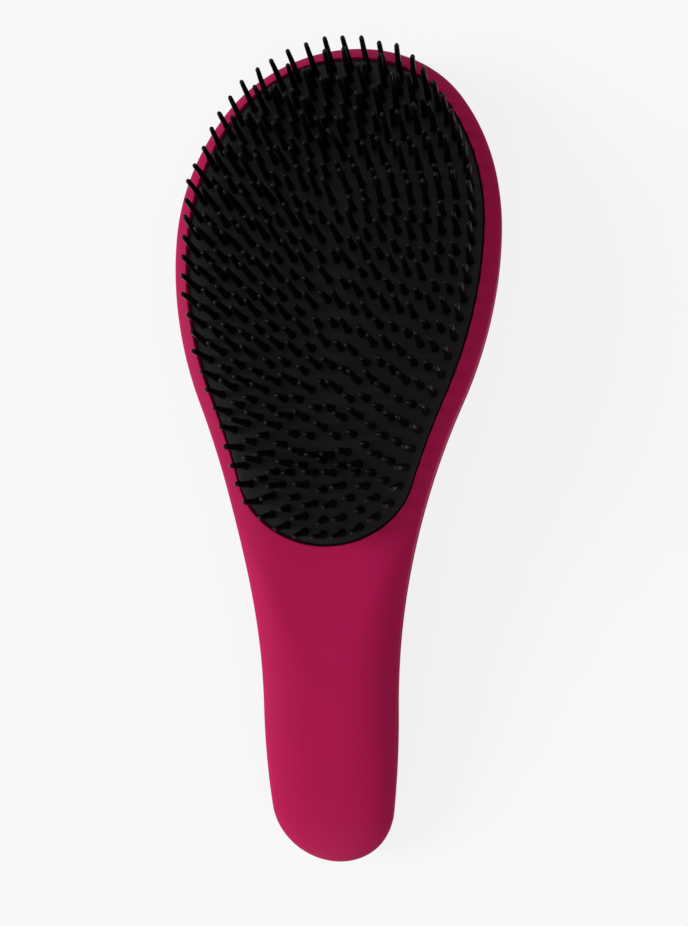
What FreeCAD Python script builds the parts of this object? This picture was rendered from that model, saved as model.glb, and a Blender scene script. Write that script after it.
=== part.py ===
import FreeCAD, Part
import bisect
import math
import os
import re
import Sketcher

# Detangling brush lying on its back: bristles up (+Z), head towards +Y, width along X.
# The origin is under the middle of the brush, on the surface that it lies on. Lengths are millimetres.

os.makedirs("parts", exist_ok=True)
doc = FreeCAD.newDocument("detangling_brush")
sheet = doc.addObject("Spreadsheet::Sheet", "sizes")

SIZES = [
    # Plan outline: an egg-shaped head that runs into a flat handle through one long hollow arc a side
    ("brush_length", 228.0),
    ("head_width", 89.4),
    ("head_widest_from_tip", 56.0),
    ("head_side_radius", 118.0),
    ("handle_width", 36.8),
    ("handle_narrowest_from_end", 43.0),
    # Side view: an arched front, and a back with two flat lands and a raised neck between them
    ("crest_height", 26.0),
    ("front_drop", 16.6),
    ("parting_height", 18.5),
    ("parting_drop", 13.6),
    ("head_land_from_tip", 28.0),
    ("head_land_length", 14.0),
    ("head_tail_radius", 450.0),
    ("handle_land_from_end", 20.0),
    ("handle_land_length", 14.0),
    ("handle_tail_radius", 150.0),
    ("neck_rise", 11.5),
    ("neck_blend_radius", 80.0),
    # Softened edges of the shells
    ("front_edge", 2.4),
    ("back_edge", 4.6),
    # Shell walls and the seat of the bristle plate
    ("wall", 2.6),
    ("rim_width", 4.1),
    ("plate_gap", 0.25),
    ("plate_recess", 1.2),
    ("plate_flange", 1.8),
    ("plate_boss", 1.0),
    ("ledge_width", 1.5),
    ("plate_centre_from_tip", 114.0),
    ("plate_corner_radius", 9.0),
    # Ribs, and the weld pins with their sockets
    ("rib_width", 1.6),
    ("rib_height", 4.5),
    ("pin_width", 2.2),
    ("pin_length", 3.2),
    ("pin_gap", 0.1),
    ("boss_wall", 1.5),
    ("boss_inset", 4.2),
    # Bristles
    ("bristle_edge_inset", 3.1),
    ("bristle_ring_pitch", 3.9),
    ("bristle_pitch", 5.0),
    ("bristle_root_radius", 1.2),
    ("bristle_tip_radius", 0.55),
    ("long_bristle", 12.3),
    ("short_bristle", 7.5),
    # How far a cutting body runs past what it cuts
    ("overrun", 10.0),
]
for row, (alias, value) in enumerate(SIZES, 1):
    sheet.set("A%d" % row, alias)
    sheet.set("B%d" % row, str(value))
    sheet.setAlias("B%d" % row, alias)
# Radii of the arches that fall by a named drop between their crest and the ends of the brush
RADII = [
    ("front_arch_radius", "=((brush_length / 2) ^ 2 + front_drop ^ 2) / (2 * front_drop)"),
    ("parting_arch_radius", "=((brush_length / 2) ^ 2 + parting_drop ^ 2) / (2 * parting_drop)"),
]
for row, (alias, formula) in enumerate(RADII, len(SIZES) + 1):
    sheet.set("A%d" % row, alias)
    sheet.set("B%d" % row, formula)
    sheet.setAlias("B%d" % row, alias)
doc.recompute()


def value(formula):
    """The number that a formula in the sheet's aliases stands for."""
    return float(sheet.evalExpression(formula))


def bind(thing, place, formula):
    """Ties a property or a sketch constraint to the sheet."""
    thing.setExpression(place, re.sub(r"([a-z_]{3,})", r"sizes.\1", formula))


def vec(x, y, z=0.0):
    return FreeCAD.Vector(x, y, z)


# Plan outline

# Round ends as shares of the half widths that they close
head_tip_share = 0.895
handle_end_share = 0.925
plate_end_share = 1.03

HEAD_LINE = "brush_length / 2 - head_widest_from_tip"
HANDLE_LINE = "handle_narrowest_from_end - brush_length / 2"
HEAD_TIP_RADIUS = "head_width / 2 * %s" % head_tip_share
HANDLE_END_RADIUS = "handle_width / 2 * %s" % handle_end_share
HEAD_TIP_Y = "brush_length / 2 - " + HEAD_TIP_RADIUS
HANDLE_TIP_Y = HANDLE_END_RADIUS + " - brush_length / 2"
PLATE_CENTRE_Y = "brush_length / 2 - plate_centre_from_tip"
NECK_RADIUS = ("((head_width - handle_width) ^ 2 / 4 + (%s - (%s)) ^ 2) / (head_width - handle_width)"
               " - head_side_radius") % (HEAD_LINE, HANDLE_LINE)
NECK_DISTANCE = "((handle_width / 2 + %s) ^ 2 + (%s - (%s)) ^ 2) ^ 0.5" % (NECK_RADIUS, PLATE_CENTRE_Y, HANDLE_LINE)
PLATE_END_RADIUS = "%s * (%s - (%s) - rim_width)" % (plate_end_share, NECK_DISTANCE, NECK_RADIUS)
PLATE_END_Y = "%s - %s" % (PLATE_CENTRE_Y, PLATE_END_RADIUS)

head_half = value("head_width / 2")
handle_half = value("handle_width / 2")
head_y = value(HEAD_LINE)
handle_y = value(HANDLE_LINE)
head_tip = (0.0, value(HEAD_TIP_Y))
handle_tip = (0.0, value(HANDLE_TIP_Y))
plate_centre = (0.0, value(PLATE_CENTRE_Y))
head_tip_radius = value(HEAD_TIP_RADIUS)
handle_end_radius = value(HANDLE_END_RADIUS)
plate_end_radius = value(PLATE_END_RADIUS)


def blend_radius(half_width, end_radius, drop):
    """Radius of the arc that leaves the widest line squarely and meets the round end without a corner."""
    return (half_width ** 2 + drop ** 2 - end_radius ** 2) / (2 * (half_width - end_radius))


def direction(start, end):
    return math.atan2(end[1] - start[1], end[0] - start[0])


def circles_meet(first, first_radius, second, second_radius):
    """The meeting point of two circles that lies on the right of the line from first to second."""
    gap = math.dist(first, second)
    along = (gap ** 2 + first_radius ** 2 - second_radius ** 2) / (2 * gap)
    aside = math.sqrt(first_radius ** 2 - along ** 2)
    turn = direction(first, second)
    x = first[0] + along * math.cos(turn) + aside * math.sin(turn)
    return (x, first[1] + along * math.sin(turn) - aside * math.cos(turn))


shoulder_radius = blend_radius(head_half, head_tip_radius, head_tip[1] - head_y)
heel_radius = blend_radius(handle_half, handle_end_radius, handle_y - handle_tip[1])
side_radius = value("head_side_radius")
neck_radius = value(NECK_RADIUS)
shoulder = (head_half - shoulder_radius, head_y)
side = (head_half - side_radius, head_y)
neck = (handle_half + neck_radius, handle_y)
heel = (handle_half - heel_radius, handle_y)
tip_turn = direction(shoulder, head_tip)
neck_turn = direction(side, neck)
heel_turn = direction(heel, handle_tip)
plate_corner = circles_meet(
    plate_centre, plate_end_radius - value("plate_corner_radius"),
    neck, neck_radius + value("rim_width + plate_corner_radius"))
corner_turn = direction(plate_centre, plate_corner)
corner_side_turn = direction(plate_corner, neck)
print("outline radii: shoulder %.1f, neck %.1f, heel %.1f" % (shoulder_radius, neck_radius, heel_radius))


def arc(centre, radius, start, end):
    return Part.ArcOfCircle(Part.Circle(vec(*centre), vec(0, 0, 1), radius), start, end)


def mirrored(curve):
    centre = (-curve.Center.x, curve.Center.y)
    return arc(centre, curve.Radius, math.pi - curve.LastParameter, math.pi - curve.FirstParameter)


def line(start, end):
    return Part.LineSegment(vec(*start), vec(*end))


def meeting_ends(first, second):
    """Which end of each curve (1 the start, 2 the end) lies where the two curves meet."""
    pairs = []
    for first_end, first_point in ((1, first.StartPoint), (2, first.EndPoint)):
        for second_end, second_point in ((1, second.StartPoint), (2, second.EndPoint)):
            pairs.append((first_point.distanceToPoint(second_point), first_end, second_end))
    return min(pairs)[1:]


PLAN = FreeCAD.Placement()
SIDE_VIEW = FreeCAD.Placement(vec(0, 0, 0), FreeCAD.Rotation(vec(1, 1, 1), 120))


def loop_sketch(label, plane, curves, ties, corners=()):
    """A closed sketch: each curve runs into the next without a corner, except after those in corners."""
    sketch = doc.addObject("Sketcher::SketchObject", label)
    sketch.Placement = plane
    sketch.addGeometry(curves, False)
    for index, curve in enumerate(curves):
        after = (index + 1) % len(curves)
        this_end, next_end = meeting_ends(curve, curves[after])
        kind = "Coincident" if index in corners else "Tangent"
        sketch.addConstraint(Sketcher.Constraint(kind, index, this_end, after, next_end))
    for number, (kind, index, point, formula) in enumerate(ties):
        if kind == "Radius":
            added = sketch.addConstraint(Sketcher.Constraint(kind, index, value(formula)))
        else:
            added = sketch.addConstraint(Sketcher.Constraint(kind, -1, 1, index, point, value(formula)))
        name = "tie_%d" % number
        sketch.renameConstraint(added, name)
        bind(sketch, "Constraints." + name, formula)
    return sketch


def less(formula, inset):
    return "%s - (%s)" % (formula, inset) if inset else formula


def head_curves(inset):
    """The arcs of the head outline, moved inwards: the tip, then the right side down to the neck."""
    return [
        arc(head_tip, head_tip_radius - inset, tip_turn, math.pi - tip_turn),
        arc(shoulder, shoulder_radius - inset, 0, tip_turn),
        arc(side, side_radius - inset, neck_turn, 0),
    ]


def head_ties(inset):
    """Sizes of the head arcs, where 9, 8 and 7 are the left shoulder, side and neck."""
    return [
        ("DistanceX", 0, 3, "0 * head_width"),
        ("DistanceY", 0, 3, HEAD_TIP_Y),
        ("Radius", 0, 0, less(HEAD_TIP_RADIUS, inset)),
        ("DistanceX", 1, 1, less("head_width / 2", inset)),
        ("DistanceX", 9, 2, "-(%s)" % less("head_width / 2", inset)),
        ("DistanceY", 1, 3, HEAD_LINE),
        ("DistanceY", 9, 3, HEAD_LINE),
        ("DistanceY", 2, 3, HEAD_LINE),
        ("DistanceY", 8, 3, HEAD_LINE),
        ("Radius", 2, 0, less("head_side_radius", inset)),
        ("Radius", 8, 0, less("head_side_radius", inset)),
        ("DistanceY", 3, 3, HANDLE_LINE),
        ("DistanceY", 7, 3, HANDLE_LINE),
    ]


def brush_outline(label, inset=""):
    """Plan outline of the whole brush, moved inwards by the formula in inset."""
    depth = value(inset) if inset else 0.0
    right = head_curves(depth)
    right.append(arc(neck, neck_radius + depth, math.pi + neck_turn, math.pi))
    right.append(arc(heel, heel_radius - depth, heel_turn, 0))
    end = arc(handle_tip, handle_end_radius - depth, math.pi - heel_turn, 2 * math.pi + heel_turn)
    curves = right + [end] + [mirrored(curve) for curve in reversed(right[1:])]
    ties = head_ties(inset) + [
        ("DistanceY", 4, 3, HANDLE_LINE),
        ("DistanceY", 6, 3, HANDLE_LINE),
        ("DistanceX", 4, 2, less("handle_width / 2", inset)),
        ("DistanceX", 6, 1, "-(%s)" % less("handle_width / 2", inset)),
        ("DistanceX", 5, 3, "0 * head_width"),
        ("DistanceY", 5, 3, HANDLE_TIP_Y),
        ("Radius", 5, 0, less(HANDLE_END_RADIUS, inset)),
    ]
    return loop_sketch(label, PLAN, curves, ties)


def plate_outline(label, inset):
    """Plan outline inside the rim: it follows the head and closes in a broad round end at the neck."""
    rim = value("rim_width")
    depth = value(inset)
    right = head_curves(rim + depth)
    right.append(arc(neck, neck_radius + rim + depth, math.pi + neck_turn, math.pi + corner_side_turn))
    corner_radius = value("plate_corner_radius") - depth
    right.append(arc(plate_corner, corner_radius, corner_turn, corner_side_turn))
    end = arc(plate_centre, plate_end_radius - depth, math.pi - corner_turn, 2 * math.pi + corner_turn)
    curves = right + [end] + [mirrored(curve) for curve in reversed(right[1:])]
    ties = head_ties("rim_width + %s" % inset) + [
        ("Radius", 3, 0, NECK_RADIUS + " + rim_width + " + inset),
        ("Radius", 7, 0, NECK_RADIUS + " + rim_width + " + inset),
        ("Radius", 4, 0, less("plate_corner_radius", inset)),
        ("Radius", 6, 0, less("plate_corner_radius", inset)),
        ("DistanceX", 5, 3, "0 * head_width"),
        ("DistanceY", 5, 3, PLATE_CENTRE_Y),
        ("Radius", 5, 0, less(PLATE_END_RADIUS, inset)),
    ]
    return loop_sketch(label, PLAN, curves, ties)


# Side view

FAR_Y = "brush_length / 2 + overrun"
far_y = value(FAR_Y)


def arch(centre_z, radius):
    """An arc over the whole length, with its crest above the origin."""
    spread = math.asin(far_y / radius)
    return arc((0, centre_z), radius, math.pi / 2 - spread, math.pi / 2 + spread)


def arch_band(label, high, low):
    """The layer between two depths under the arched front."""
    centre_z = value("crest_height - front_arch_radius")
    top = arch(centre_z, value("front_arch_radius - (%s)" % high))
    under = arch(centre_z, value("front_arch_radius - (%s)" % low))
    ends = [line(tuple(top.EndPoint)[:2], tuple(under.EndPoint)[:2]),
            line(tuple(under.StartPoint)[:2], tuple(top.StartPoint)[:2])]
    ties = [
        ("DistanceX", 0, 3, "0 * head_width"),
        ("DistanceY", 0, 3, "crest_height - front_arch_radius"),
        ("Radius", 0, 0, "front_arch_radius - (%s)" % high),
        ("DistanceX", 0, 1, FAR_Y),
        ("DistanceX", 0, 2, "-(%s)" % FAR_Y),
        ("DistanceX", 2, 3, "0 * head_width"),
        ("DistanceY", 2, 3, "crest_height - front_arch_radius"),
        ("Radius", 2, 0, "front_arch_radius - (%s)" % low),
        ("DistanceX", 2, 1, FAR_Y),
        ("DistanceX", 2, 2, "-(%s)" % FAR_Y),
    ]
    return loop_sketch(label, SIDE_VIEW, [top, ends[0], under, ends[1]], ties, corners=(0, 1, 2, 3))


def above_parting(label):
    """Everything above the joint line of the two shells."""
    under = arch(value("parting_height - parting_arch_radius"), value("parting_arch_radius"))
    ceiling = value("crest_height + overrun")
    right = line((far_y, ceiling), tuple(under.StartPoint)[:2])
    left = line(tuple(under.EndPoint)[:2], (-far_y, ceiling))
    top = line((-far_y, ceiling), (far_y, ceiling))
    ties = [
        ("DistanceX", 1, 3, "0 * head_width"),
        ("DistanceY", 1, 3, "parting_height - parting_arch_radius"),
        ("Radius", 1, 0, "parting_arch_radius"),
        ("DistanceX", 1, 1, FAR_Y),
        ("DistanceX", 1, 2, "-(%s)" % FAR_Y),
        ("DistanceX", 0, 1, FAR_Y),
        ("DistanceX", 2, 2, "-(%s)" % FAR_Y),
        ("DistanceY", 0, 1, "crest_height + overrun"),
        ("DistanceY", 2, 2, "crest_height + overrun"),
    ]
    return loop_sketch(label, SIDE_VIEW, [right, under, left, top], ties, corners=(0, 1, 2, 3))


HEAD_LAND_START = "brush_length / 2 - head_land_from_tip"
HEAD_LAND_END = HEAD_LAND_START + " - head_land_length"
HANDLE_LAND_START = "handle_land_from_end - brush_length / 2"
HANDLE_LAND_END = HANDLE_LAND_START + " + handle_land_length"
NECK_SPAN = "(%s - (%s)) / 2" % (HEAD_LAND_END, HANDLE_LAND_END)
NECK_RADII = "((%s) ^ 2 + neck_rise ^ 2) / (2 * neck_rise)" % NECK_SPAN


def side_view(label, inset=""):
    """Side view of the brush: the arched front over a back of two lands, a raised neck and two upswept ends."""
    depth = value(inset) if inset else 0.0
    lift = inset if inset else "0 * wall"
    front = arch(value("crest_height - front_arch_radius"), value("front_arch_radius") - depth)
    blend = value("neck_blend_radius")
    crown = value(NECK_RADII) - blend
    middle = value("(%s + %s) / 2" % (HEAD_LAND_END, HANDLE_LAND_END))
    head_tail = (value(HEAD_LAND_START), value("head_tail_radius"))
    head_blend = (value(HEAD_LAND_END), blend)
    crest = (middle, value("neck_rise") - crown)
    handle_blend = (value(HANDLE_LAND_END), blend)
    handle_tail = (value(HANDLE_LAND_START), value("handle_tail_radius"))
    down = -math.pi / 2
    rise = direction(crest, head_blend)
    fall = direction(crest, handle_blend)
    head_sweep = down + math.asin((far_y - head_tail[0]) / (head_tail[1] - depth))
    handle_sweep = down - math.asin((far_y + handle_tail[0]) / (handle_tail[1] - depth))
    tail = arc(head_tail, head_tail[1] - depth, down, head_sweep)
    heel_tail = arc(handle_tail, handle_tail[1] - depth, handle_sweep, down)
    curves = [
        front,
        line(tuple(front.EndPoint)[:2], tuple(heel_tail.StartPoint)[:2]),
        heel_tail,
        line((handle_tail[0], depth), (handle_blend[0], depth)),
        arc(handle_blend, blend - depth, down, fall - math.pi),
        arc(crest, crown + depth, rise, fall),
        arc(head_blend, blend - depth, rise - math.pi, down),
        line((head_blend[0], depth), (head_tail[0], depth)),
        tail,
        line(tuple(tail.EndPoint)[:2], tuple(front.StartPoint)[:2]),
    ]
    ties = [
        ("DistanceX", 0, 3, "0 * head_width"),
        ("DistanceY", 0, 3, "crest_height - front_arch_radius"),
        ("Radius", 0, 0, less("front_arch_radius", inset)),
        ("DistanceX", 0, 1, FAR_Y),
        ("DistanceX", 0, 2, "-(%s)" % FAR_Y),
        ("DistanceX", 2, 1, "-(%s)" % FAR_Y),
        ("DistanceX", 8, 2, FAR_Y),
        ("Radius", 2, 0, less("handle_tail_radius", inset)),
        ("Radius", 8, 0, less("head_tail_radius", inset)),
        ("DistanceX", 3, 1, HANDLE_LAND_START),
        ("DistanceY", 3, 1, lift),
        ("DistanceX", 3, 2, HANDLE_LAND_END),
        ("DistanceY", 3, 2, lift),
        ("Radius", 4, 0, less("neck_blend_radius", inset)),
        ("Radius", 6, 0, less("neck_blend_radius", inset)),
        ("Radius", 5, 0, "%s - neck_blend_radius + %s" % (NECK_RADII, lift)),
        ("DistanceX", 7, 1, HEAD_LAND_END),
        ("DistanceY", 7, 1, lift),
        ("DistanceX", 7, 2, HEAD_LAND_START),
        ("DistanceY", 7, 2, lift),
    ]
    return loop_sketch(label, SIDE_VIEW, curves, ties, corners=(0, 1, 8, 9))


# Solids

def upright(label, sketch):
    """A plan outline drawn out through the full height."""
    solid = doc.addObject("Part::Extrusion", label)
    solid.Base = sketch
    solid.DirMode = "Custom"
    solid.Dir = vec(0, 0, 1)
    bind(solid, "LengthFwd", "crest_height + overrun")
    bind(solid, "LengthRev", "overrun")
    solid.Solid = True
    return solid


def crosswise(label, sketch):
    """A side view drawn out through the full width."""
    solid = doc.addObject("Part::Extrusion", label)
    solid.Base = sketch
    solid.DirMode = "Custom"
    solid.Dir = vec(1, 0, 0)
    bind(solid, "LengthFwd", "head_width / 2 + overrun")
    bind(solid, "LengthRev", "head_width / 2 + overrun")
    solid.Solid = True
    return solid


def common(label, *solids):
    result = doc.addObject("Part::MultiCommon", label)
    result.Shapes = list(solids)
    return result


def fused(label, *solids):
    result = doc.addObject("Part::MultiFuse", label)
    result.Shapes = list(solids)
    return result


def without(label, base, *tools):
    """The base with each tool cut out of it in turn."""
    for number, tool in enumerate(tools, 1):
        result = doc.addObject("Part::Cut", label if number == len(tools) else "%s_cut_%d" % (label, number))
        result.Base = base
        result.Tool = tool
        base = result
    return result


# The outer form, which both shells share, and the hollow inside it

arch_axis_z = value("crest_height - front_arch_radius")
near = value("wall") / 100


def crossed(label, family, inset=""):
    """The body that a plan outline and a side view enclose, both moved inwards by the formula in inset."""
    return common(label, upright(family + "_plan_solid", brush_outline(family + "_plan", inset)),
                  crosswise(family + "_side_solid", side_view(family + "_side", inset)))


def softened(label, blank, plan, inset, front_edge, back_edge):
    """The blank with the edges along its plan outline broken, at the front and at the back."""
    doc.recompute()
    outline = doc.getObject(plan).Shape.Wires[0]
    front_radius = value(less("front_arch_radius", inset))
    picked = []
    for number, edge in enumerate(blank.Shape.Edges, 1):
        middle = edge.valueAt((edge.FirstParameter + edge.LastParameter) / 2)
        if outline.distToShape(Part.Vertex(middle.x, middle.y, 0))[0] > near:
            continue
        if edge.Curve.TypeId == "Part::GeomLine" and abs(edge.tangentAt(edge.FirstParameter).z) > 0.5:
            continue
        in_front = abs(math.hypot(middle.y, middle.z - arch_axis_z) - front_radius) < near
        size = front_edge if in_front else back_edge
        if size:
            picked.append((number, value(size), value(size)))
    result = doc.addObject("Part::Chamfer", label)
    result.Base = blank
    result.Edges = picked
    return result


form = softened("form", crossed("form_blank", "brush"), "brush_plan", "", "front_edge", "back_edge")
hollow = softened("hollow", crossed("hollow_blank", "hollow", "wall"), "hollow_plan", "wall", "",
                  "back_edge - wall / 2")


# The two shells: blanks on either side of the joint line, then the hollow, the plate seat, ribs and pins

SEAT_DEPTH = "plate_recess + plate_flange"
LEDGE_INSET = "ledge_width"
NO_INSET = "0 * wall"

upper_half = crosswise("upper_half", above_parting("parting_view"))
front_blank = common("front_blank", form, upper_half)
back_blank = without("back_blank", form, upper_half)

plate_pocket = common("plate_pocket", upright("pocket_plan_solid", plate_outline("pocket_plan", NO_INSET)),
                      crosswise("pocket_band_solid", arch_band("pocket_band", "-overrun", SEAT_DEPTH)))
ledge_opening = upright("ledge_opening", plate_outline("ledge_plan", LEDGE_INSET))

handle_zone = doc.addObject("Part::Box", "handle_zone")
bind(handle_zone, "Length", "head_width")
bind(handle_zone, "Width", "brush_length")
bind(handle_zone, "Height", "crest_height + overrun")
bind(handle_zone, "Placement.Base.x", "-head_width / 2")
bind(handle_zone, "Placement.Base.y", PLATE_END_Y + " - wall - brush_length")
handle_hollow = common("handle_hollow", hollow, handle_zone)


def outline_x(y, inset):
    """Half width of the brush outline, moved inwards, at a place along the head or the neck."""
    if y > shoulder[1] + shoulder_radius * math.sin(tip_turn):
        centre, radius = head_tip, head_tip_radius - inset
    elif y > head_y:
        centre, radius = shoulder, shoulder_radius - inset
    elif y > side[1] + side_radius * math.sin(neck_turn):
        centre, radius = side, side_radius - inset
    else:
        centre, radius = neck, -(neck_radius + inset)
    return centre[0] + math.copysign(math.sqrt(radius ** 2 - (y - centre[1]) ** 2), radius)


# Weld pins stand on the ring round the plate and on the middle line of the handle
HEAD_PIN_SHARES = (0.22, 0.5, 0.8)
HANDLE_PIN_SHARES = (0.16, 0.5, 0.84)
HEAD_RIB_SHARES = (0.25, 0.45, 0.65, 0.85)
HANDLE_RIB_SHARES = (0.33, 0.67)

head_end_y = value("brush_length / 2")
plate_end_y = value(PLATE_END_Y)
pin_places = []
for share in HEAD_PIN_SHARES:
    pin_y = head_end_y - share * (head_end_y - plate_end_y)
    pin_x = outline_x(pin_y, value("boss_inset"))
    pin_places += [(pin_x, pin_y), (-pin_x, pin_y)]
for share in HANDLE_PIN_SHARES:
    pin_places.append((0.0, plate_end_y - share * (head_end_y + plate_end_y)))


def parting_z(y):
    radius = value("parting_arch_radius")
    return value("parting_height") - radius + math.sqrt(radius ** 2 - y ** 2)


def posts(label, width, low, high):
    """A square post at every pin place, from low to high above the joint line."""
    made = []
    half = value(width) / 2
    for number, (x, y) in enumerate(pin_places, 1):
        post = doc.addObject("Part::Box", "%s_%d" % (label, number))
        bind(post, "Length", width)
        bind(post, "Width", width)
        bind(post, "Height", "%s - (%s)" % (high, low))
        post.Placement.Base = vec(x - half, y - half, parting_z(y) + value(low))
        made.append(post)
    return fused(label, *made)


def ribs(label):
    """Cross ribs on the floor of the back shell."""
    made = []
    places = [head_end_y - share * (head_end_y - plate_end_y) for share in HEAD_RIB_SHARES]
    places += [plate_end_y - share * (head_end_y + plate_end_y) for share in HANDLE_RIB_SHARES]
    for number, y in enumerate(places, 1):
        rib = doc.addObject("Part::Box", "%s_%d" % (label, number))
        bind(rib, "Length", "head_width")
        bind(rib, "Width", "rib_width")
        bind(rib, "Height", "wall + rib_height")
        bind(rib, "Placement.Base.x", "-head_width / 2")
        rib.Placement.Base.y = y - value("rib_width") / 2
        made.append(rib)
    return fused(label, *made)


BELOW = "-crest_height"
SOCKET_WIDTH = "pin_width + 2 * pin_gap"
BOSS_WIDTH = SOCKET_WIDTH + " + 2 * boss_wall"
back_posts = common("back_posts", back_blank, posts("bosses", BOSS_WIDTH, BELOW, "0 * wall"))
back_ribs = common("back_ribs", back_blank, ribs("cross_ribs"))
sockets = posts("sockets", SOCKET_WIDTH, "-(pin_length + pin_gap)", "overrun")
back_wall = without("back_wall", back_blank, hollow)
back_shell = without("back_shell", fused("back_fused", back_wall, back_posts, back_ribs), sockets)

front_wall = without("front_wall", front_blank, handle_hollow)
front_posts = common("front_posts", front_blank, posts("columns", BOSS_WIDTH, "0 * wall", "crest_height"))
front_open = without("front_open", fused("front_fused", front_wall, front_posts), plate_pocket, ledge_opening)
front_pins = posts("pins", "pin_width", "-pin_length", "boss_wall")
front_shell = fused("front_shell", front_open, front_pins)
# Merging the front shell's faces can fail on the narrow ones of the plate seat, so they stay as they are cut
for step in (front_open.Base, front_open, front_shell):
    step.Refine = False

# The bristle plate: a flange on the ledge and a boss that drops into the opening

plate_flange = common("plate_flange", upright("flange_plan_solid", plate_outline("flange_plan", "plate_gap")),
                      crosswise("flange_band_solid", arch_band("flange_band", "plate_recess", SEAT_DEPTH)))
plate_boss = common("plate_boss",
                    upright("boss_plan_solid", plate_outline("boss_plan", "plate_gap + ledge_width")),
                    crosswise("boss_band_solid", arch_band("boss_band", SEAT_DEPTH, SEAT_DEPTH + " + plate_boss")))
bristle_plate = fused("bristle_plate", plate_flange, plate_boss)
doc.recompute()

# Bristles: slim square tapers that stand square to the arched plate, on rings inside its outline

SIDES = 4
RINGS_OFF_AXIS = (2, 4)


def taper(height):
    """A bristle on the origin, with flat sides from its root up to its tip."""
    rings = []
    for radius, z in ((value("bristle_root_radius"), 0.0), (value("bristle_tip_radius"), height)):
        turns = [math.tau * corner / SIDES for corner in range(SIDES)]
        rings.append([vec(radius * math.cos(turn), radius * math.sin(turn), z) for turn in turns])
    root, tip = rings
    loops = [root, tip]
    for corner in range(SIDES):
        after = (corner + 1) % SIDES
        loops.append([root[corner], root[after], tip[after], tip[corner]])
    faces = [Part.Face(Part.makePolygon(loop + loop[:1])) for loop in loops]
    return Part.makeSolid(Part.makeShell(faces))


rim = value("rim_width")
# The right half of the plate outline, from the neck to the head tip: centre, radius, ends, and -1 where hollow
PLATE_ARCS = [
    (plate_centre, plate_end_radius, -math.pi / 2, corner_turn, 1),
    (plate_corner, value("plate_corner_radius"), corner_turn, corner_side_turn, 1),
    (neck, neck_radius + rim, math.pi + corner_side_turn, math.pi + neck_turn, -1),
    (side, side_radius - rim, neck_turn, 0.0, 1),
    (shoulder, shoulder_radius - rim, 0.0, tip_turn, 1),
    (head_tip, head_tip_radius - rim, tip_turn, math.pi / 2, 1),
]
POINTS_AN_ARC = 60
CLEAR_SHARE = 0.98


def close_points(inset):
    """Close points on the arcs of the right half of the plate outline, each arc moved inwards."""
    points = []
    for centre, radius, start, end, bulge in PLATE_ARCS:
        reduced = radius - bulge * inset
        steps = POINTS_AN_ARC if reduced > 0 else 0
        for number in range(steps):
            turn = start + (end - start) * number / (steps - 1)
            points.append((centre[0] + reduced * math.cos(turn), centre[1] + reduced * math.sin(turn)))
    return points


def half_ring(inset):
    """The right half of a ring: the points of the moved arcs that are as far inside the whole outline."""
    least = inset * CLEAR_SHARE
    return [point for point in close_points(inset)
            if point[0] >= 0 and min(math.dist(point, other) for other in plate_points) >= least]


def ring_places(ring, off_axis):
    """Even places on a half ring: half a step from the middle at the tip, on it or half a step off at the neck."""
    lengths = [0.0]
    for before, after in zip(ring, ring[1:]):
        lengths.append(lengths[-1] + math.dist(before, after))
    steps = round(lengths[-1] / value("bristle_pitch"))
    step = lengths[-1] / (2 * steps if off_axis else 2 * steps - 1)
    first = step if off_axis else 0
    places = []
    for number in range(steps):
        along = first + 2 * number * step
        index = max(1, bisect.bisect_left(lengths, along))
        share = (along - lengths[index - 1]) / (lengths[index] - lengths[index - 1])
        start, end = ring[index - 1], ring[index]
        places.append((start[0] + share * (end[0] - start[0]), start[1] + share * (end[1] - start[1])))
    return places


def standing(bristle, x, y):
    """A copy of the bristle with its root on the arched plate, square to it."""
    radius = value("front_arch_radius - plate_recess")
    lean = math.asin(y / radius)
    z = value("crest_height - front_arch_radius") + radius * math.cos(lean)
    copy = bristle.copy()
    copy.Placement = FreeCAD.Placement(vec(x, y, z), FreeCAD.Rotation(vec(1, 0, 0), -math.degrees(lean)))
    return copy


long_bristle = taper(value("long_bristle"))
short_bristle = taper(value("short_bristle"))
bristles = {"edge_bristles": [], "long_bristles": [], "short_bristles": []}
plate_points = close_points(0)
inset = value("bristle_edge_inset")
ring_number = 0
while inset < value("head_width / 2 - rim_width - bristle_ring_pitch / 2"):
    for number, (x, y) in enumerate(ring_places(half_ring(inset), ring_number in RINGS_OFF_AXIS)):
        if ring_number == 0:
            group, bristle = "edge_bristles", long_bristle
        elif (number + ring_number) % 2:
            group, bristle = "short_bristles", short_bristle
        else:
            group, bristle = "long_bristles", long_bristle
        for aside in ((-x, x) if x > value("bristle_pitch / 4") else (0,)):
            bristles[group].append(standing(bristle, aside, y))
    ring_number += 1
    inset += value("bristle_ring_pitch")
print("rings: %d" % ring_number)

groups = []
for label, solids in bristles.items():
    group = doc.addObject("Part::Feature", label)
    group.Shape = Part.makeCompound(solids)
    groups.append(group)
doc.recompute()

# Check every object, then write each sub-part to its own file

for thing in doc.Objects:
    if "Invalid" in thing.State or "Error" in thing.State:
        raise RuntimeError("%s failed: %s" % (thing.Label, thing.State))
for thing in [front_shell, back_shell, bristle_plate] + groups:
    shape = thing.Shape
    if shape.isNull() or not shape.isValid() or not shape.Solids:
        raise RuntimeError("%s has no valid solid" % thing.Label)
    shape.exportStep("parts/%s.step" % thing.Label)
    print("%-15s %3d solids %9.1f mm3" % (thing.Label, len(shape.Solids), shape.Volume))
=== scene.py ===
import math

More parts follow.
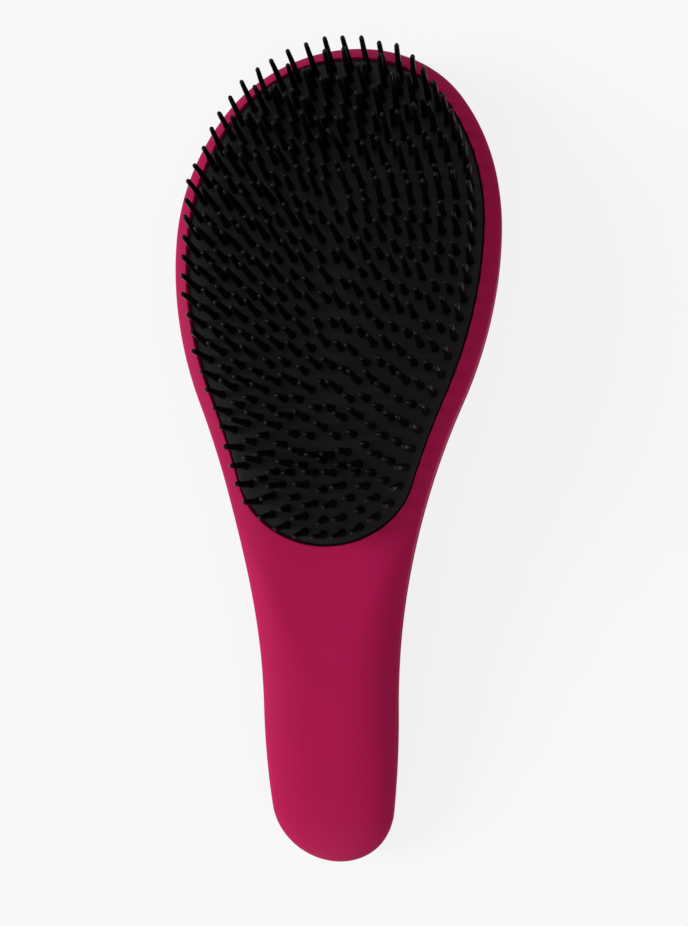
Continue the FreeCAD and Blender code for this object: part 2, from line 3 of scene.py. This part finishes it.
import bmesh
import bpy
import numpy as np
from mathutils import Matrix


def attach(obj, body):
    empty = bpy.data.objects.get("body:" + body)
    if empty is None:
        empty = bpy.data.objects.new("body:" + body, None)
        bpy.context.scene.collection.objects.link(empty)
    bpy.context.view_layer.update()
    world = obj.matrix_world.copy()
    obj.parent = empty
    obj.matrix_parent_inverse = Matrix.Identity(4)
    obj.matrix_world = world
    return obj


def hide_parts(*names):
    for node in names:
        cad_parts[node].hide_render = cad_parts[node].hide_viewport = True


# A detangling brush that lies on its back, bristles up, with the tip of its head towards +Y.
# Outlines and profiles are worked out in millimetres and become metres when they are put into a mesh.

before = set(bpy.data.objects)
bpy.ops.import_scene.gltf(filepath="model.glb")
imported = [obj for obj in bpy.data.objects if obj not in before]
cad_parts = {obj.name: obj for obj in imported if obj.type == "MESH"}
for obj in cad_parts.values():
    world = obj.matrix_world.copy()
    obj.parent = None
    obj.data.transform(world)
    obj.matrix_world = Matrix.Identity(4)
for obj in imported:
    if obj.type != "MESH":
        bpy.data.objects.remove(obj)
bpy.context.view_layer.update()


# Camera: close above the brush, a little to its right, so that the bristles lean to the left in the picture.

camera = bpy.data.objects.new("camera", bpy.data.cameras.new("camera"))
bpy.context.scene.collection.objects.link(camera)
bpy.context.scene.camera = camera
camera.data.sensor_fit = "AUTO"
camera.data.sensor_width = 36.0
camera.data.lens = 35.154
camera.data.clip_start = 0.01
camera.location = (0.0552, -0.0112, 0.2538)
camera.rotation_euler = (0.0339, 0.2141, 0.0153)
bpy.context.scene.view_settings.view_transform = "Standard"


# Front shell: the half of the body that carries the bristles, moulded in ABS and coated with a pink
# soft-touch paint. A slim rounded rim runs round the head, and the handle is crowned like a pebble.
# It is welded to the back shell, and the bristle plate drops into the pocket in its head.

metre = 1000.0
brush_length = 228.0
half_length = brush_length / 2
head_half, head_widest_y, head_tip_radius, head_side_radius = 44.7, 58.0, 40.0065, 118.0
handle_half, handle_narrow_y, handle_end_radius = 18.4, -71.0, 17.02
handle_end_y = handle_end_radius - half_length
rim_width, plate_centre_y, plate_end_share, plate_corner_radius = 4.1, 0.0, 1.03, 20.0
below_plate = 7.0
crest_height, front_drop = 26.0, 16.6
parting_height, parting_drop = 18.5, 13.6
front_arch_radius = (half_length ** 2 + front_drop ** 2) / (2 * front_drop)
parting_arch_radius = (half_length ** 2 + parting_drop ** 2) / (2 * parting_drop)
plate_recess, plate_seat, ledge_width, pocket_round = 0.9, 3.0, 1.5, 0.25

# Each shell's joint face lies a hair off the joint line, with a flat land and then a small round lip. The lip
# is written as steps in from the outline and away from the line, and the upright wall starts further off.
joint_face, joint_land, joint_wall = 0.02, 1.4, 0.5
joint_lip = ((0.5, joint_face), (0.18, 0.12), (0.04, 0.3))

# The front's edge changes down the neck and on down the handle. It has a quick round and a slope, each with
# its depth inside the outline and its power, over an upright wall that ends below the arch. The rings of
# points lie close together near the outline and then run on evenly to the pocket.
neck_start_y, neck_change = 26.0, 40.0
handle_start_y, handle_change = -14.0, 50.0
round_on_head, round_on_handle, round_power = 1.4, 15.0, 2.1
slope_on_head, slope_at_neck, head_power, neck_power, slope_share = 4.6, 10.6, 1.4, 2.2, 0.65
wall_drop = 2.8
edge_on_head, edge_on_handle = 3.4, 13.0
edge_rings, face_rings, pocket_rings = 28, 12, 5


def angle(start, end):
    """Direction from one point to another: the arc tangent of the rise over the run."""
    return math.atan2(end[1] - start[1], end[0] - start[0])


def meeting_radius(half, wide_y, end_radius, end_y):
    """Radius of the arc that runs from the widest place of an end of the brush into its end arc without a
    corner: half width squared plus distance squared less end radius squared, over twice the difference of
    half width and end radius."""
    return (half ** 2 + (end_y - wide_y) ** 2 - end_radius ** 2) / (2 * (half - end_radius))


def outline_arcs():
    """The arcs of the right half of the brush outline, from the head tip to the handle end: centre, radius,
    first and last angle, 1 where the arc bulges outwards or -1 where it is hollow, and how many points it
    gets. Each arc meets the next without a corner. The neck is parted where the rounded corner of the bristle
    plate begins and a little below the plate. The plate's own arcs follow, from that corner to its foot."""
    tip = (0.0, half_length - head_tip_radius)
    end = (0.0, handle_end_y)
    shoulder_radius = meeting_radius(head_half, head_widest_y, head_tip_radius, tip[1])
    heel_radius = meeting_radius(handle_half, handle_narrow_y, handle_end_radius, end[1])
    narrowing = head_half - handle_half
    drop = head_widest_y - handle_narrow_y
    neck_radius = (narrowing ** 2 + drop ** 2) / (2 * narrowing) - head_side_radius
    shoulder = (head_half - shoulder_radius, head_widest_y)
    side = (head_half - head_side_radius, head_widest_y)
    neck = (handle_half + neck_radius, handle_narrow_y)
    heel = (handle_half - heel_radius, handle_narrow_y)
    tip_turn, neck_turn, heel_turn = angle(shoulder, tip), angle(side, neck), angle(heel, end)
    plate_centre = (0.0, plate_centre_y)
    reach = math.dist(plate_centre, neck)
    end_radius = plate_end_share * (reach - neck_radius - rim_width)
    near, far = end_radius - plate_corner_radius, neck_radius + rim_width + plate_corner_radius
    along = (reach ** 2 + near ** 2 - far ** 2) / (2 * reach)
    turn = angle(plate_centre, neck) - math.acos(along / near)
    corner = (near * math.cos(turn), plate_centre_y + near * math.sin(turn))
    corner_turn = angle(corner, neck)
    foot_y = plate_centre_y - end_radius - below_plate
    foot_turn = math.pi - math.asin((foot_y - handle_narrow_y) / neck_radius)
    upper = [
        (tip, head_tip_radius, math.pi / 2, tip_turn, 1, 46),
        (shoulder, shoulder_radius, tip_turn, 0.0, 1, 36),
        (side, head_side_radius, 0.0, neck_turn, 1, 36),
        (neck, neck_radius, math.pi + neck_turn, math.pi + corner_turn, -1, 14),
    ]
    middle = [(neck, neck_radius, math.pi + corner_turn, foot_turn, -1, 32)]
    lower = [
        (neck, neck_radius, foot_turn, math.pi, -1, 24),
        (heel, heel_radius, 0.0, heel_turn, 1, 16),
        (end, handle_end_radius, heel_turn, -math.pi / 2, 1, 32),
    ]
    plate = [
        (corner, plate_corner_radius, corner_turn, turn, 1, 8),
        (plate_centre, end_radius, turn, -math.pi / 2, 1, 24),
    ]
    return upper, middle, lower, plate


def stations(arcs):
    """Evenly turned places along arcs, then their mirror images back to the start: the arc centre, the
    direction from it, the radius and the sign of its bulge, each as an array."""
    rows = []
    for centre, radius, start, end, sign, count in arcs:
        turns = start + (end - start) * np.arange(count) / count
        rows.append(np.column_stack([np.full(count, centre[0]), np.full(count, centre[1]), np.cos(turns),
                                     np.sin(turns), np.full(count, radius), np.full(count, sign)]))
    centre, radius, _, end, sign, _ = arcs[-1]
    rows.append(np.array([[centre[0], centre[1], math.cos(end), math.sin(end), radius, sign]]))
    half = np.concatenate(rows)
    mirror = np.array([-1, 1, -1, 1, 1, 1])
    return np.concatenate([half, half[1:-1][::-1] * mirror])


def inside(places, inset):
    """Points of an outline moved inwards: the arc centre plus the direction times the radius, which shrinks
    by the inset on a bulging arc and grows by it on a hollow one. Inset is one number, or one for each."""
    reach = places[:, 4] - places[:, 5] * inset
    return places[:, :2] + places[:, 2:4] * reach[:, None]


upper_arcs, middle_arcs, lower_arcs, plate_arcs = outline_arcs()
brush_arcs = upper_arcs + middle_arcs + lower_arcs
brush_edge = stations(brush_arcs)
outer_edge = inside(brush_edge, 0)
rim_arcs = [(centre, radius - sign * rim_width, start, end, sign, count)
            for centre, radius, start, end, sign, count in upper_arcs]
pocket_edge = stations(rim_arcs + plate_arcs)


def arch(y, height, radius):
    """Height of a wide arch over the brush: its crest less the drop of a circle at y."""
    return height - radius + np.sqrt(radius ** 2 - y ** 2)


def on_front(points):
    """Height of the arch of the front at points."""
    return arch(points[:, 1], crest_height, front_arch_radius)


def on_parting(points):
    """Height of the joint line at points, where the two shells part."""
    return arch(points[:, 1], parting_height, parting_arch_radius)


def ease(t):
    """Smooth step: nought below 0, one above 1, and 3 t squared less 2 t cubed between."""
    t = np.clip(t, 0, 1)
    return t * t * (3 - 2 * t)


def towards_handle(points):
    """Nought on the head, one on the handle, and a smooth step between."""
    return ease((handle_start_y - points[:, 1]) / handle_change)


def mixed(first, second, share):
    """The first value plus a share of the way to the second."""
    return first + (second - first) * share


def between(start, finish, count):
    """Rings of points at even shares of the way from one ring to another, the first left out."""
    return [mixed(start, finish, share) for share in np.linspace(0, 1, count)[1:]]


def depth_inside(points):
    """How far points lie inside the brush outline: the least distance to its arcs, each within its turn."""
    depth = np.full(len(points), np.inf)
    slack = 1e-6
    for centre, radius, start, end, *_ in brush_arcs:
        away = np.column_stack([np.abs(points[:, 0]), points[:, 1]]) - centre
        turn = np.arctan2(away[:, 1], away[:, 0])
        near = (turn > min(start, end) - slack) & (turn < max(start, end) + slack)
        depth[near] = np.minimum(depth, np.abs(radius - np.hypot(away[:, 0], away[:, 1])))[near]
    return depth


def rounded(points):
    """Height of the front above its side wall, of two parts whose shares change from the head to the handle.
    With t the share of a part's own depth inside the outline, one is a quick round, (1 - (1 - t) ** power)
    ** (1 / power), much deeper on the handle. The other, on the head alone, is a slope, 1 - (1 - t) ** power,
    that widens and softens towards the neck. The wall ends a little below the arch on the head and close to
    the joint line on the handle."""
    neck = ease((neck_start_y - points[:, 1]) / neck_change)
    handle = towards_handle(points)
    depth = depth_inside(points)
    round_part = np.clip(depth / mixed(round_on_head, round_on_handle, handle), 0, 1)
    quick = (1 - (1 - round_part) ** round_power) ** (1 / round_power)
    slope_part = np.clip(depth / mixed(slope_on_head, slope_at_neck, neck), 0, 1)
    slope = 1 - (1 - slope_part) ** mixed(head_power, neck_power, neck)
    low = on_parting(points) + joint_wall
    low += np.maximum(on_front(points) - wall_drop - low, 0) * (1 - handle)
    share = slope_share * (1 - handle)
    return low + (on_front(points) - low) * (slope * share + quick * (1 - share))


def along_handle(pocket_ring):
    """A ring round the pocket, with its foot point repeated for the outline points below the plate."""
    foot = len(pocket_ring) // 2
    spare = len(brush_edge) - len(pocket_ring)
    return np.concatenate([pocket_ring[:foot], np.repeat(pocket_ring[foot:foot + 1], spare + 1, 0),
                           pocket_ring[foot + 1:]])


def down_middle(ring):
    """The ring with its repeated foot points drawn out along the middle line of the handle, each beside its
    outline point, and the span above the narrow place shared out as far as the foot."""
    foot_y = ring[len(ring) // 2, 1]
    place = np.arange(len(ring))
    first = sum(count for *_, count in upper_arcs + middle_arcs)
    below = (place >= first) & (place <= len(ring) - first)
    outer_y = outer_edge[below, 1]
    drawn_y = np.interp(outer_y, [handle_end_y, handle_narrow_y, outer_y.max()],
                        [handle_end_y, handle_narrow_y, foot_y])
    drawn = ring.copy()
    drawn[below] = np.column_stack([np.zeros(len(outer_y)), drawn_y])
    return drawn


def at_height(points, z):
    """Points of the plane with a height, which is one number or one for each."""
    return np.column_stack([points, np.broadcast_to(z, len(points))])


def front_shell_rings():
    """Rings from the joint line over the rounded edge and the front face to the pocket and the middle line of
    the handle, down the pocket wall, over the ledge, and below to the middle line again."""
    rings = []
    for inset, rise in ((joint_land, joint_face), *joint_lip):
        points = inside(brush_edge, inset)
        rings.append(at_height(points, on_parting(points) + rise))
    reach = mixed(edge_on_head, edge_on_handle, towards_handle(outer_edge))
    for turn in np.linspace(0, math.pi / 2, edge_rings):
        points = inside(brush_edge, reach * (1 - math.cos(turn)))
        rings.append(at_height(points, rounded(points)))
    finish = down_middle(along_handle(inside(pocket_edge, -pocket_round)))
    for points in between(inside(brush_edge, reach), finish, face_rings):
        rings.append(at_height(points, rounded(points)))
    for turn in np.linspace(0, math.pi / 2, pocket_rings)[1:]:
        points = along_handle(inside(pocket_edge, -pocket_round * (1 - math.sin(turn))))
        rings.append(at_height(points, rounded(points) - pocket_round * (1 - math.cos(turn))))
    points = along_handle(inside(pocket_edge, 0))
    for depth in (plate_seat / 2, plate_seat):
        rings.append(at_height(points, on_front(points) - depth))
    ledge = along_handle(inside(pocket_edge, ledge_width))
    rings.append(at_height(ledge, on_front(ledge) - plate_seat))
    for points in (ledge, down_middle(ledge)):
        rings.append(at_height(points, on_parting(points) + joint_face))
    return rings


def faces_between(rings, around, wraps):
    """Corner numbers of the four-sided faces between the neighbouring rings of a grid. Each ring closes on
    itself, and the last joins the first where the grid wraps."""
    ring, place = np.meshgrid(np.arange(rings if wraps else rings - 1), np.arange(around), indexing="ij")
    after, beside = (ring + 1) % rings, (place + 1) % around
    corners = [ring * around + place, ring * around + beside, after * around + beside, after * around + place]
    return np.stack(corners, -1).reshape(-1, 4)


def smooth_piece(name, mesh):
    """An object at the origin that shows a mesh with smooth shading."""
    mesh.polygons.foreach_set("use_smooth", np.ones(len(mesh.polygons), bool))
    piece = bpy.data.objects.new(name, mesh)
    bpy.context.scene.collection.objects.link(piece)
    return piece


def skin(name, rings):
    """A closed surface from rings of points, each ring joined to the next and the last to the first. Points
    that fall together are merged. Faces that lose their area so, or lie in the middle plane, are left out."""
    # Adding nought turns minus nought into nought, so that such points merge too.
    points = np.round(np.concatenate(rings), decimals=6) + 0.0
    points, merged = np.unique(points, axis=0, return_inverse=True)
    quads = merged.reshape(-1)[faces_between(len(rings), len(rings[0]), True)]
    quads = quads[np.abs(points[quads, 0]).max(1) > 0]
    faces = [list(dict.fromkeys(quad)) for quad in quads.tolist()]
    mesh = bpy.data.meshes.new(name)
    mesh.from_pydata((points / metre).tolist(), [], [face for face in faces if len(face) > 2])
    work = bmesh.new()
    work.from_mesh(mesh)
    bmesh.ops.delete(work, geom=[vertex for vertex in work.verts if not vertex.link_faces], context="VERTS")
    bmesh.ops.recalc_face_normals(work, faces=work.faces)
    work.to_mesh(mesh)
    work.free()
    return smooth_piece(name, mesh)


front_shell = skin("front_shell_skin", front_shell_rings())

# Sockets of a Mix node that mixes colours.
colour_a, colour_b, colour_result = 6, 7, 2


def moulded_plastic(name, tints, roughness, gloss, cloud_scale, grain_scale, grain_strength, grain_depth):
    """A plastic whose colour and roughness drift between two values each with a cloudy noise, while a fine
    noise raises a faint grain, its height in metres."""
    plastic = bpy.data.materials.new(name)
    plastic.use_nodes = True
    nodes, links = plastic.node_tree.nodes, plastic.node_tree.links
    shader = nodes["Principled BSDF"]
    shader.inputs["Specular IOR Level"].default_value = gloss
    place = nodes.new("ShaderNodeTexCoord")
    clouds = nodes.new("ShaderNodeTexNoise")
    clouds.inputs["Scale"].default_value = cloud_scale
    clouds.inputs["Detail"].default_value = 3.0
    tint = nodes.new("ShaderNodeMix")
    tint.data_type = "RGBA"
    tint.inputs[colour_a].default_value = (*tints[0], 1)
    tint.inputs[colour_b].default_value = (*tints[1], 1)
    grain = nodes.new("ShaderNodeTexNoise")
    grain.inputs["Scale"].default_value = grain_scale
    grain.inputs["Detail"].default_value = 2.0
    rough = nodes.new("ShaderNodeMapRange")
    rough.inputs["To Min"].default_value = roughness[0]
    rough.inputs["To Max"].default_value = roughness[1]
    bump = nodes.new("ShaderNodeBump")
    bump.inputs["Strength"].default_value = grain_strength
    bump.inputs["Distance"].default_value = grain_depth
    links.new(place.outputs["Object"], clouds.inputs["Vector"])
    links.new(place.outputs["Object"], grain.inputs["Vector"])
    links.new(clouds.outputs["Fac"], tint.inputs["Factor"])
    links.new(tint.outputs[colour_result], shader.inputs["Base Color"])
    links.new(clouds.outputs["Fac"], rough.inputs["Value"])
    links.new(rough.outputs["Result"], shader.inputs["Roughness"])
    links.new(grain.outputs["Fac"], bump.inputs["Height"])
    links.new(bump.outputs["Normal"], shader.inputs["Normal"])
    return plastic


soft_touch = moulded_plastic(
    "soft_touch_pink", tints=((0.300, 0.0042, 0.052), (0.325, 0.0052, 0.058)),
    roughness=(0.58, 0.68), gloss=0.05, cloud_scale=45.0, grain_scale=2600.0, grain_strength=0.06,
    grain_depth=0.00004)

front_shell.data.materials.append(soft_touch)
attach(front_shell, "root")
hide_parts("front_shell")


# Back shell: the half that lies in the palm, in the same coated ABS. It is domed at its edges, flat under
# the head and the handle end, and rises under the neck for the fingers. It is welded on along the joint line.

neck_rise, neck_blend_radius = 11.5, 80.0
head_land_y, head_land_end_y, head_tail_radius = 86.0, 72.0, 450.0
handle_land_y, handle_land_end_y, handle_tail_radius = -94.0, -80.0, 150.0
dome_on_head, dome_on_handle, dome_power = 13.0, 9.0, 2.3
dome_start_y, dome_change = -55.0, 70.0
middle_top_y, middle_foot_y = 74.0, -97.0
back_land, dome_rings = 6.0, 15


def circle_rise(away, radius):
    """How far a circle has risen off the flat that it leaves: its radius less its height over the centre."""
    return radius - np.sqrt(radius ** 2 - away ** 2)


def back_height(y):
    """Height of the back: nought on two flat lands, a circle up towards each end, and between the lands a
    raised neck of one wide arc with a smaller arc that blends it into each land."""
    middle = (head_land_end_y + handle_land_end_y) / 2
    span = (head_land_end_y - handle_land_end_y) / 2
    crown = (span ** 2 + neck_rise ** 2) / (2 * neck_rise) - neck_blend_radius
    away = np.abs(y - middle)
    meeting = span * crown / (crown + neck_blend_radius)
    over = neck_rise - crown + np.sqrt(np.maximum(crown ** 2 - away ** 2, 0))
    under = circle_rise(np.clip(span - away, 0, span - meeting), neck_blend_radius)
    neck = np.where(away < meeting, over, np.where(away < span, under, 0))
    head_tail = circle_rise(np.maximum(y - head_land_y, 0), head_tail_radius)
    handle_tail = circle_rise(np.maximum(handle_land_y - y, 0), handle_tail_radius)
    return neck + head_tail + handle_tail


def middle_line(outer, foot_y):
    """Points on the middle line, each level with its outline point but held between a foot and the head."""
    return np.column_stack([np.zeros(len(outer)), np.clip(outer[:, 1], foot_y, middle_top_y)])


def back_shell_rings():
    """Rings from the middle line above, out to the joint line, down the domed edge and in to the middle line
    below. The edge is a superellipse, 1 - (1 - (1 - t) ** power) ** (1 / power) of the way up, and it reaches
    further inwards on the head than on the handle."""
    middle = middle_line(outer_edge, middle_foot_y)
    rings = [at_height(middle, on_parting(middle) - joint_face)]
    for inset, fall in ((back_land, joint_face), *joint_lip):
        points = inside(brush_edge, inset)
        rings.append(at_height(points, on_parting(points) - fall))
    reach = mixed(dome_on_handle, dome_on_head, ease((outer_edge[:, 1] - dome_start_y) / dome_change))
    for turn in np.linspace(0, math.pi / 2, dome_rings):
        share = 1 - math.cos(turn)
        points = inside(brush_edge, reach * share)
        high = on_parting(points) - joint_wall
        low = back_height(points[:, 1])
        rise = 1 - (1 - (1 - share) ** dome_power) ** (1 / dome_power)
        rings.append(at_height(points, mixed(low, high, rise)))
    for points in between(inside(brush_edge, reach), middle, face_rings):
        rings.append(at_height(points, back_height(points[:, 1])))
    return rings


back_shell = skin("back_shell_skin", back_shell_rings())
back_shell.data.materials.append(soft_touch)
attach(back_shell, "root")
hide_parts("back_shell")


# Bristle plate: one moulding of black flexible plastic with its bristles. It sits on the ledge of the front
# shell with a thin gap round it, a little below the rim, and follows the arch of the front.

plate_gap, plate_border, plate_land = 0.25, 0.5, 6.0
plate_middle_foot_y = -2.0
border_rings, plate_face_rings = 6, 16


def plate_rings():
    """Rings from the middle line below, out to the border, over its quarter-round edge and in to the middle
    line above, all on the arch of the front."""
    middle = middle_line(inside(pocket_edge, 0), plate_middle_foot_y)
    rings = [(middle, plate_seat)]
    rings += [(inside(pocket_edge, inset), plate_seat) for inset in (plate_land, plate_gap)]
    for turn in np.linspace(0, math.pi / 2, border_rings):
        points = inside(pocket_edge, plate_gap + plate_border * (1 - math.cos(turn)))
        rings.append((points, plate_recess + plate_border * (1 - math.sin(turn))))
    start = inside(pocket_edge, plate_gap + plate_border)
    rings += [(points, plate_recess) for points in between(start, middle, plate_face_rings)]
    return [at_height(points, on_front(points) - depth) for points, depth in rings]


plate = skin("bristle_plate_skin", plate_rings())

black_plastic = moulded_plastic(
    "satin_black_plastic", tints=((0.0038, 0.0038, 0.0040), (0.0062, 0.0062, 0.0065)),
    roughness=(0.34, 0.48), gloss=0.10, cloud_scale=120.0, grain_scale=1800.0, grain_strength=0.1,
    grain_depth=0.00005)

plate.data.materials.append(black_plastic)
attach(plate, "root")
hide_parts("bristle_plate")


# Bristles: slim flexible pins moulded in one with the plate, in rings inside its outline, long ones on the
# outer ring and long and short ones by turns inside it. Each flares at its root and ends in a round tip.
# They stand square to the arched plate, and hardly two stand quite straight.

long_bristle, short_bristle = 12.0, 7.2

# The profile of a bristle, from its sunk root to just under its tip: shares of its height, and radii there.
bristle_levels = np.array([-0.03, 0.0, 0.05, 0.16, 0.55, 0.955, 0.99])
bristle_radii = np.array([1.19, 1.18, 1.02, 0.92, 0.80, 0.66, 0.40])
bristle_sides = 8

# How much the bristles differ: their bends as shares of the height, the few that bend more, and the height.
bend_spread, bent_share, bent_more = 0.028, 0.02, 3.0
usual_height, height_spread, least_change, most_change = 0.988, 0.006, -0.02, 0.008

# Corners of the solids above this share of a bristle's height, and this close together, are one bristle's.
tip_share, tip_width = 0.6, 1.3

smooth_plastic = moulded_plastic(
    "smooth_black_plastic", tints=((0.0014, 0.0014, 0.0015), (0.0024, 0.0024, 0.0025)),
    roughness=(0.20, 0.30), gloss=0.08, cloud_scale=120.0, grain_scale=1800.0, grain_strength=0.1,
    grain_depth=0.00005)


def bristle_places(node, height):
    """Where the bristles of a CAD node stand, as x and the turn about the arch's axis. The corners near the
    tips are picked by their distance from that axis, and corners within a tip's width are one bristle's."""
    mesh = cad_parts[node].data
    points = np.empty(len(mesh.vertices) * 3)
    mesh.vertices.foreach_get("co", points)
    points = points.reshape(-1, 3) * metre
    up = points[:, 2] - crest_height + front_arch_radius
    root = front_arch_radius - plate_recess
    near_tip = np.hypot(points[:, 1], up) > root + tip_share * height
    turn = np.arctan2(points[:, 1], up)
    flat = np.column_stack([points[:, 0], turn * root])[near_tip]
    found = []
    while len(flat):
        near = np.hypot(*(flat - flat[0]).T) < tip_width
        found.append(np.unique(np.round(flat[near], decimals=3), axis=0).mean(0))
        flat = flat[~near]
    x, arc_length = np.array(found).T
    return x, arc_length / root


def bristles(name, node, height, seed):
    """One mesh of many bristles. Each is a ring profile along a line that stands square to the arch: the
    radius falls quickly above the root, then slowly to a round tip, and the line bends with the square of the
    height by a small random amount."""
    x, turn = bristle_places(node, height)
    count = len(x)
    rand = np.random.default_rng(seed)
    bend = rand.normal(0, bend_spread, (count, 2)) * height
    bent = rand.random(count) < bent_share
    bend[bent] *= bent_more
    change = np.clip(rand.normal(0, height_spread, count), least_change, most_change)
    tall = height * (usual_height + change)
    place = np.arange(bristle_sides)
    around = place * math.tau / bristle_sides
    along = np.append(np.repeat(bristle_levels, bristle_sides), 1.0)
    ring_x = np.append(bristle_radii[:, None] * np.cos(around), 0.0)
    ring_y = np.append(bristle_radii[:, None] * np.sin(around), 0.0)
    lift = np.maximum(along, 0) ** 2
    across = x[:, None] + ring_x + bend[:, :1] * lift
    side = ring_y + bend[:, 1:] * lift
    out = front_arch_radius - plate_recess + tall[:, None] * along
    sine, cosine = np.sin(turn)[:, None], np.cos(turn)[:, None]
    up = out * cosine - side * sine + crest_height - front_arch_radius
    points = np.stack([across, out * sine + side * cosine, up], -1).reshape(-1, 3) / metre
    walls = faces_between(len(bristle_levels), bristle_sides, False)
    tip = len(along) - 1
    last = tip - bristle_sides
    caps = np.column_stack([last + place, last + (place + 1) % bristle_sides, np.full(bristle_sides, tip)])
    base = place[::-1]
    faces = []
    for start in np.arange(count) * len(along):
        faces += (walls + start).tolist() + (caps + start).tolist() + [(base + start).tolist()]
    mesh = bpy.data.meshes.new(name)
    mesh.from_pydata(points.tolist(), [], faces)
    piece = smooth_piece(name, mesh)
    piece.data.materials.append(smooth_plastic)
    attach(piece, "root")
    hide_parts(node)


bristles("edge_bristle_pins", "edge_bristles", long_bristle, seed=11)
bristles("long_bristle_pins", "long_bristles", long_bristle, seed=12)
bristles("short_bristle_pins", "short_bristles", short_bristle, seed=13)


# Floor: a pale sheet under the brush. It shows its own colour to the camera and to mirror and glass rays, and
# it keeps the soft shadow.

floor_half, floor_z = 3.0, -0.0003
floor_corners = [(floor_half * x, floor_half * y, floor_z) for x, y in ((-1, -1), (1, -1), (1, 1), (-1, 1))]
floor_mesh = bpy.data.meshes.new("floor")
floor_mesh.from_pydata(floor_corners, [], [(0, 1, 2, 3)])
floor = bpy.data.objects.new("floor", floor_mesh)
bpy.context.scene.collection.objects.link(floor)


def show_when_seen(tree, lit, own_colour, share, output):
    """Gives the camera, mirror and glass rays a share of a shader's own colour, and all other rays the lit
    shader: the greatest of the three ray flags times the share blends the two."""
    nodes, links = tree.nodes, tree.links
    ray = nodes.new("ShaderNodeLightPath")
    flag = ray.outputs["Is Camera Ray"]
    for other in ("Is Glossy Ray", "Is Transmission Ray"):
        greater = nodes.new("ShaderNodeMath")
        greater.operation = "MAXIMUM"
        links.new(flag, greater.inputs[0])
        links.new(ray.outputs[other], greater.inputs[1])
        flag = greater.outputs[0]
    part = nodes.new("ShaderNodeMath")
    part.operation = "MULTIPLY"
    part.inputs[1].default_value = share
    blend = nodes.new("ShaderNodeMixShader")
    links.new(flag, part.inputs[0])
    links.new(part.outputs[0], blend.inputs[0])
    links.new(lit.outputs[0], blend.inputs[1])
    links.new(own_colour.outputs[0], blend.inputs[2])
    links.new(blend.outputs[0], output.inputs["Surface"])


paper = bpy.data.materials.new("pale_paper")
paper.use_nodes = True
nodes = paper.node_tree.nodes
shader = nodes["Principled BSDF"]
shader.inputs["Base Color"].default_value = (0.80, 0.80, 0.80, 1)
shader.inputs["Roughness"].default_value = 0.9
shader.inputs["Specular IOR Level"].default_value = 0.0
paper_colour = nodes.new("ShaderNodeEmission")
paper_colour.inputs["Color"].default_value = (0.953, 0.953, 0.953, 1)
show_when_seen(paper.node_tree, shader, paper_colour, share=0.88, output=nodes["Material Output"])
floor.data.materials.append(paper)


# Light: a soft far lamp on the left, weaker ones beyond the handle end and on the right, and an even pale
# surround.

def soft_lamp(name, place, spread, strength):
    """A far lamp that shines from a place towards the brush. Spread is how wide it looks, in radians, and
    strength is in watts per square metre."""
    lamp = bpy.data.objects.new(name, bpy.data.lights.new(name, "SUN"))
    lamp.data.angle = spread
    lamp.data.energy = strength
    lamp.location = place
    far = math.hypot(place[0], place[1])
    lamp.rotation_euler = (math.atan2(far, place[2]), 0, math.atan2(place[1], place[0]) + math.pi / 2)
    bpy.context.scene.collection.objects.link(lamp)


soft_lamp("left_lamp", (-0.88, 0.0, 0.41), spread=0.50, strength=3.75)
soft_lamp("foot_lamp", (-0.20, -0.95, 0.24), spread=0.40, strength=1.05)
soft_lamp("right_lamp", (0.80, -0.30, 0.90), spread=0.48, strength=0.52)

world = bpy.data.worlds.new("pale_room")
world.use_nodes = True
nodes = world.node_tree.nodes
room_light = nodes["Background"]
room_light.inputs["Color"].default_value = (1, 1, 1, 1)
room_light.inputs["Strength"].default_value = 0.37
room_colour = nodes.new("ShaderNodeBackground")
room_colour.inputs["Color"].default_value = (0.947, 0.947, 0.947, 1)
room_colour.inputs["Strength"].default_value = 1.0
show_when_seen(world.node_tree, room_light, room_colour, share=1.0, output=nodes["World Output"])
bpy.context.scene.world = world
